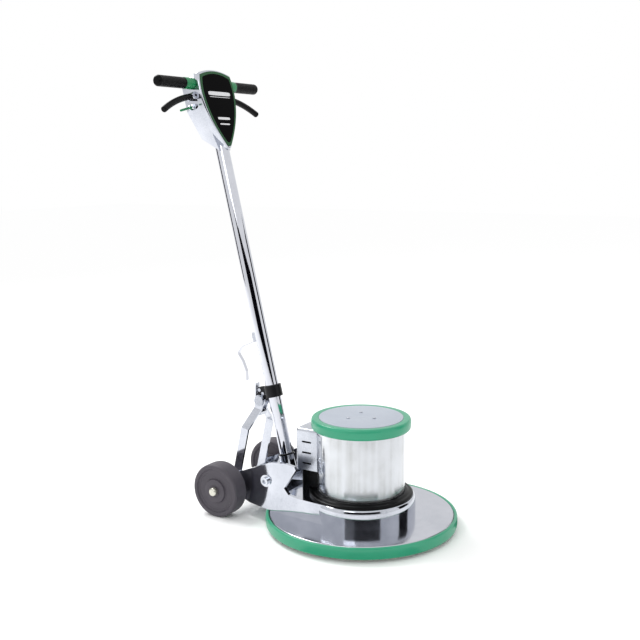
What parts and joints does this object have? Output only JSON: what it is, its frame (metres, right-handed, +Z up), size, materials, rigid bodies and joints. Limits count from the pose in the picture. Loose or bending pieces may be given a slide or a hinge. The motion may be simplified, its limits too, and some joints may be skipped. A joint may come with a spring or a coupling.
{
  "type": "high speed burnisher",
  "caption": "Upright single-disc floor burnisher with a round pad deck, motor on planetary gearing, rear transport wheels and a tilting handle with squeeze levers.",
  "frame": {"origin": "spindle axis at floor level, the centre of the pad's working face", "axes": "+Z up the spindle, -Y the front of the deck, +Y the handle and wheels, X along the axle"},
  "size_m": [0.5249, 0.8054, 1.2399],
  "materials": {
    "polished_casting": "mirror-polished cast aluminium",
    "cover_sheet": "pale grey enamelled steel",
    "chrome_tube": "bright chrome plate",
    "plated_steel": "zinc plated steel",
    "blackened_steel": "black oxide on a cast collar",
    "cap_nut_steel": "pale domed nut",
    "inner_casting": "as cast",
    "gear_steel": "ground steel",
    "lamination": "stacked electrical steel",
    "copper": "enamelled copper windings",
    "green_vinyl": "moulded soft vinyl",
    "collar_green": "moulded plastic",
    "border_green": "printed border",
    "panel_black": "printed polyester",
    "black_rubber": "moulded rubber",
    "wheel_rubber": "grey non-marking rubber",
    "black_plastic": "moulded plastic",
    "driver_board": "pad driver block",
    "clutch_metal": "cast",
    "pad_fibre": "non-woven fibre pad"
  },
  "bodies": {
    "base": {"deck": "polished_casting", "deck_bumper": "green_vinyl", "casting_screws": "plated_steel", "gear_housing": "polished_casting", "gear_cover": "inner_casting", "ring_gear": "gear_steel", "ball_bearings": "gear_steel", "motor_seal_ring": "black_rubber", "motor_shell": "polished_casting", "motor_bumper": "green_vinyl", "motor_top_cover": "cover_sheet", "case_screws": "plated_steel", "motor_end_plate": "inner_casting", "motor_tie_rods": "plated_steel", "stator_core": "lamination", "stator_windings": "copper", "capacitor_box": "plated_steel", "capacitors": "black_plastic", "wiring_boot": "black_rubber", "pivot_bolt": "plated_steel", "axle": "plated_steel", "axle_spacers": "plated_steel", "axle_cap_nuts": "cap_nut_steel"},
    "rotor": {"rotor_shaft": "gear_steel", "rotor_core": "lamination", "cooling_fan": "black_plastic"},
    "planet_1": {"planet_gear_1": "gear_steel"},
    "planet_2": {"planet_gear_2": "gear_steel"},
    "planet_3": {"planet_gear_3": "gear_steel"},
    "spindle": {"planet_carrier": "gear_steel", "planet_pins": "plated_steel", "clutch_plate": "clutch_metal", "clutch_screws": "plated_steel", "pad_driver": "driver_board", "polishing_pad": "pad_fibre"},
    "handle": {"handle_tube": "chrome_tube", "handle_foot": "polished_casting", "foot_washer": "black_rubber", "switch_housing": "polished_casting", "switch_cover": "polished_casting", "handle_screws": "plated_steel", "panel_border": "border_green", "face_panel": "panel_black", "crossbar": "chrome_tube", "grip_left": "black_rubber", "grip_right": "black_rubber", "grip_collars": "collar_green", "switch_body": "black_plastic", "cord_gland": "black_rubber", "hook_mount": "plated_steel"},
    "hook": {"cord_hook": "chrome_tube"},
    "collar": {"clamp_collar": "blackened_steel", "collar_pins": "plated_steel"},
    "cam_lever": {"cam_lever": "plated_steel"},
    "brace": {"brace_yoke": "plated_steel"},
    "wheel_left": {"wheel_left": "wheel_rubber"},
    "wheel_right": {"wheel_right": "wheel_rubber"},
    "trigger_left": {"trigger_left": "black_rubber"},
    "trigger_right": {"trigger_right": "black_rubber"},
    "safety_lever": {"safety_lever": "collar_green"}
  },
  "joints": [
    {"name": "spindle_spin", "type": "hinge", "parent": "base", "child": "spindle", "pos_m": [0, 0, 0.04], "axis": [0, 0, 1], "continuous": true},
    {"name": "rotor_spin", "type": "hinge", "parent": "base", "child": "rotor", "pos_m": [0, 0, 0.18], "axis": [0, 0, 1], "continuous": true},
    {"name": "planet_1_spin", "type": "hinge", "parent": "spindle", "child": "planet_1", "pos_m": [0, 0.042, 0.068], "axis": [0, 0, 1], "continuous": true},
    {"name": "planet_2_spin", "type": "hinge", "parent": "spindle", "child": "planet_2", "pos_m": [-0.03637, -0.021, 0.068], "axis": [0, 0, 1], "continuous": true},
    {"name": "planet_3_spin", "type": "hinge", "parent": "spindle", "child": "planet_3", "pos_m": [0.03637, -0.021, 0.068], "axis": [0, 0, 1], "continuous": true},
    {"name": "handle_tilt", "type": "hinge", "parent": "base", "child": "handle", "pos_m": [0, 0.233, 0.12], "axis": [-1, 0, 0], "range_deg": [-3, 33]},
    {"name": "collar_slide", "type": "slide", "parent": "handle", "child": "collar", "axis": [0, 0.2321, 0.9727], "range_m": [-0.012, 0.098]},
    {"name": "brace_swing", "type": "hinge", "parent": "base", "child": "brace", "pos_m": [0, 0.3798, 0.0762], "axis": [-1, 0, 0], "range_deg": [-4, 39]},
    {"name": "cam_lever_swing", "type": "hinge", "parent": "collar", "child": "cam_lever", "pos_m": [0, 0.32909, 0.34175], "axis": [1, 0, 0], "range_deg": [0, 50]},
    {"name": "wheel_left_spin", "type": "hinge", "parent": "base", "child": "wheel_left", "pos_m": [-0.137, 0.3798, 0.0762], "axis": [1, 0, 0], "continuous": true},
    {"name": "wheel_right_spin", "type": "hinge", "parent": "base", "child": "wheel_right", "pos_m": [0.137, 0.3798, 0.0762], "axis": [1, 0, 0], "continuous": true},
    {"name": "trigger_left_squeeze", "type": "hinge", "parent": "handle", "child": "trigger_left", "pos_m": [-0.08, 0.48759, 1.16546], "axis": [0, 0.9727, -0.2321], "range_deg": [0, 12], "stiffness_Nm_per_rad": 1.5, "springref_deg": -8.59},
    {"name": "trigger_right_squeeze", "type": "hinge", "parent": "handle", "child": "trigger_right", "pos_m": [0.08, 0.48759, 1.16546], "axis": [0, -0.9727, 0.2321], "range_deg": [0, 12], "stiffness_Nm_per_rad": 1.5, "springref_deg": -8.59},
    {"name": "safety_lever_press", "type": "hinge", "parent": "handle", "child": "safety_lever", "pos_m": [-0.07, 0.49615, 1.13669], "axis": [0, 0.9727, -0.2321], "range_deg": [0, 12], "stiffness_Nm_per_rad": 0.3, "springref_deg": -8.59},
    {"name": "cord_hook_swivel", "type": "hinge", "parent": "handle", "child": "hook", "pos_m": [0, 0.35075, 0.49285], "axis": [0, 0.9727, -0.2321], "range_deg": [0, 180]}
  ],
  "couplings": [
    {"joint": "rotor_spin", "follows": "spindle_spin", "ratio": 5.6},
    {"joint": "planet_1_spin", "follows": "spindle_spin", "ratio": -2.5556},
    {"joint": "planet_2_spin", "follows": "spindle_spin", "ratio": -2.5556},
    {"joint": "planet_3_spin", "follows": "spindle_spin", "ratio": -2.5556},
    {"joint": "collar_slide", "follows": "handle_tilt", "m_per_rad": 0.1625},
    {"joint": "brace_swing", "follows": "handle_tilt", "ratio": 1.13}
  ]
}
